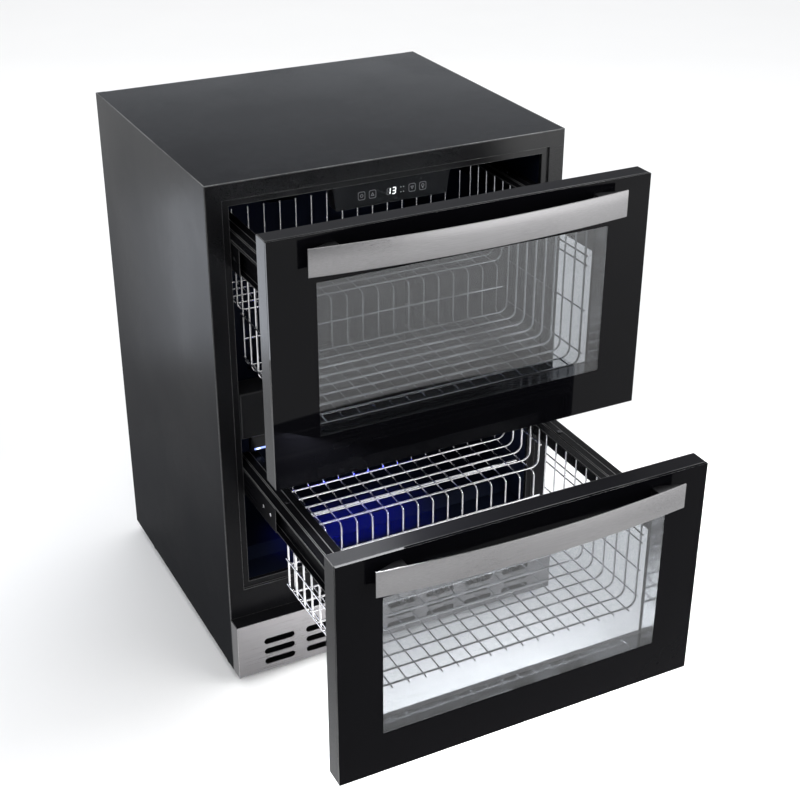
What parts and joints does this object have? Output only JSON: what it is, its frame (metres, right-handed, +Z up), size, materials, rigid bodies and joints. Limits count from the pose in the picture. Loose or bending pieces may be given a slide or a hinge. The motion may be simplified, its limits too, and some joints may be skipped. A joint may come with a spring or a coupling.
{
  "type": "glass door refrigerator",
  "caption": "Free-standing refrigerator with glazed sliding drawers, bowed steel handles, stepped wire baskets on telescopic slides and a slotted kick plate.",
  "frame": {"origin": "on the floor, under the middle of the box round the part with both drawers part-way out", "axes": "+Z up, +X to the right seen from the front, +Y towards the back; the drawers open towards -Y"},
  "size_m": [0.595, 0.969, 0.86],
  "materials": {
    "shell_paint": "satin black powder paint",
    "frame_paint": "satin near-black paint",
    "back_sheet": "grey painted sheet",
    "zinc_steel": "bright zinc-plated steel",
    "stainless": "brushed stainless steel",
    "bracket_metal": "satin cast metal",
    "carrier_metal": "black painted steel",
    "screw_metal": "plated",
    "chrome_wire": "bright chrome-plated wire",
    "dark_plastic": "fine-grained black moulding",
    "liner_plastic": "satin black moulding",
    "foam": "rigid insulating foam",
    "control_glass": "back-printed black glass",
    "circuit_board": "laminate",
    "light_lens": "clear light cover, lit bluish white",
    "bare_aluminium": "mill finish",
    "fan_plastic": "moulded",
    "motor_plastic": "moulded",
    "black_paint": "gloss black paint",
    "gasket_rubber": "soft extruded rubber",
    "door_edge": "satin black anodised edge",
    "black_glass": "gloss glass, back-printed black round a clear window",
    "spacer_metal": "polished aluminium",
    "clear_glass": "clear",
    "foot_plastic": "moulded"
  },
  "bodies": {
    "cabinet": {"air_duct": "liner_plastic", "back_panel": "back_sheet", "base_pan": "zinc_steel", "compressor": "black_paint", "condenser": "bare_aluminium", "condenser_fan_motor": "motor_plastic", "control_board": "circuit_board", "control_glass": "control_glass", "control_housing": "dark_plastic", "cord_gland": "gasket_rubber", "drip_tray": "motor_plastic", "evaporator": "bare_aluminium", "evaporator_fan_motor": "motor_plastic", "foam_insulation": "foam", "front_frame": "frame_paint", "kick_plate": "stainless", "left_side_panel": "shell_paint", "light_housing": "dark_plastic", "light_strip": "light_lens", "liner": "liner_plastic", "lower_slide_outer": "zinc_steel", "machine_deck": "zinc_steel", "mullion": "dark_plastic", "rear_service_cover": "back_sheet", "right_side_panel": "shell_paint", "top_panel": "shell_paint", "upper_slide_outer": "zinc_steel"},
    "upper_drawer": {"upper_door_frame": "door_edge", "upper_outer_glass": "black_glass", "upper_glass_spacer": "spacer_metal", "upper_inner_glass": "clear_glass", "upper_inner_frame": "dark_plastic", "upper_gasket": "gasket_rubber", "upper_handle_bar": "stainless", "upper_handle_brackets": "bracket_metal", "upper_carriers": "carrier_metal", "upper_slide_inner": "zinc_steel", "upper_basket": "chrome_wire", "upper_carrier_screws": "screw_metal"},
    "upper_slide_middles": {"upper_slide_middle": "zinc_steel"},
    "lower_drawer": {"lower_door_frame": "door_edge", "lower_outer_glass": "black_glass", "lower_glass_spacer": "spacer_metal", "lower_inner_glass": "clear_glass", "lower_inner_frame": "dark_plastic", "lower_gasket": "gasket_rubber", "lower_handle_bar": "stainless", "lower_handle_brackets": "bracket_metal", "lower_carriers": "carrier_metal", "lower_slide_inner": "zinc_steel", "lower_basket": "chrome_wire", "lower_carrier_screws": "screw_metal"},
    "lower_slide_middles": {"lower_slide_middle": "zinc_steel"},
    "front_left_foot": {"front_left_foot": "foot_plastic"},
    "front_right_foot": {"front_right_foot": "foot_plastic"},
    "rear_left_foot": {"rear_left_foot": "foot_plastic"},
    "rear_right_foot": {"rear_right_foot": "foot_plastic"},
    "evaporator_fan": {"evaporator_fan": "fan_plastic"},
    "condenser_fan": {"condenser_fan": "fan_plastic"}
  },
  "joints": [
    {"name": "upper_drawer_slide", "type": "slide", "parent": "cabinet", "child": "upper_drawer", "axis": [0, -1, 0], "range_m": [-0.164, 0.236]},
    {"name": "lower_drawer_slide", "type": "slide", "parent": "cabinet", "child": "lower_drawer", "axis": [0, -1, 0], "range_m": [-0.357, 0.043]},
    {"name": "upper_middle_slide", "type": "slide", "parent": "cabinet", "child": "upper_slide_middles", "axis": [0, -1, 0], "range_m": [-0.082, 0.118]},
    {"name": "lower_middle_slide", "type": "slide", "parent": "cabinet", "child": "lower_slide_middles", "axis": [0, -1, 0], "range_m": [-0.1785, 0.0215]},
    {"name": "evaporator_fan_spin", "type": "hinge", "parent": "cabinet", "child": "evaporator_fan", "pos_m": [0, 0.4195, 0.69], "axis": [0, 1, 0], "continuous": true},
    {"name": "condenser_fan_spin", "type": "hinge", "parent": "cabinet", "child": "condenser_fan", "pos_m": [0.14, 0.0915, 0.0695], "axis": [0, 1, 0], "continuous": true},
    {"name": "front_left_foot_height", "type": "slide", "parent": "cabinet", "child": "front_left_foot", "axis": [0, 0, -1], "range_m": [-0.008, 0.012]},
    {"name": "front_right_foot_height", "type": "slide", "parent": "cabinet", "child": "front_right_foot", "axis": [0, 0, -1], "range_m": [-0.008, 0.012]},
    {"name": "rear_left_foot_height", "type": "slide", "parent": "cabinet", "child": "rear_left_foot", "axis": [0, 0, -1], "range_m": [-0.008, 0.012]},
    {"name": "rear_right_foot_height", "type": "slide", "parent": "cabinet", "child": "rear_right_foot", "axis": [0, 0, -1], "range_m": [-0.008, 0.012]}
  ],
  "couplings": [
    {"joint": "upper_middle_slide", "follows": "upper_drawer_slide", "ratio": 0.5},
    {"joint": "lower_middle_slide", "follows": "lower_drawer_slide", "ratio": 0.5}
  ]
}
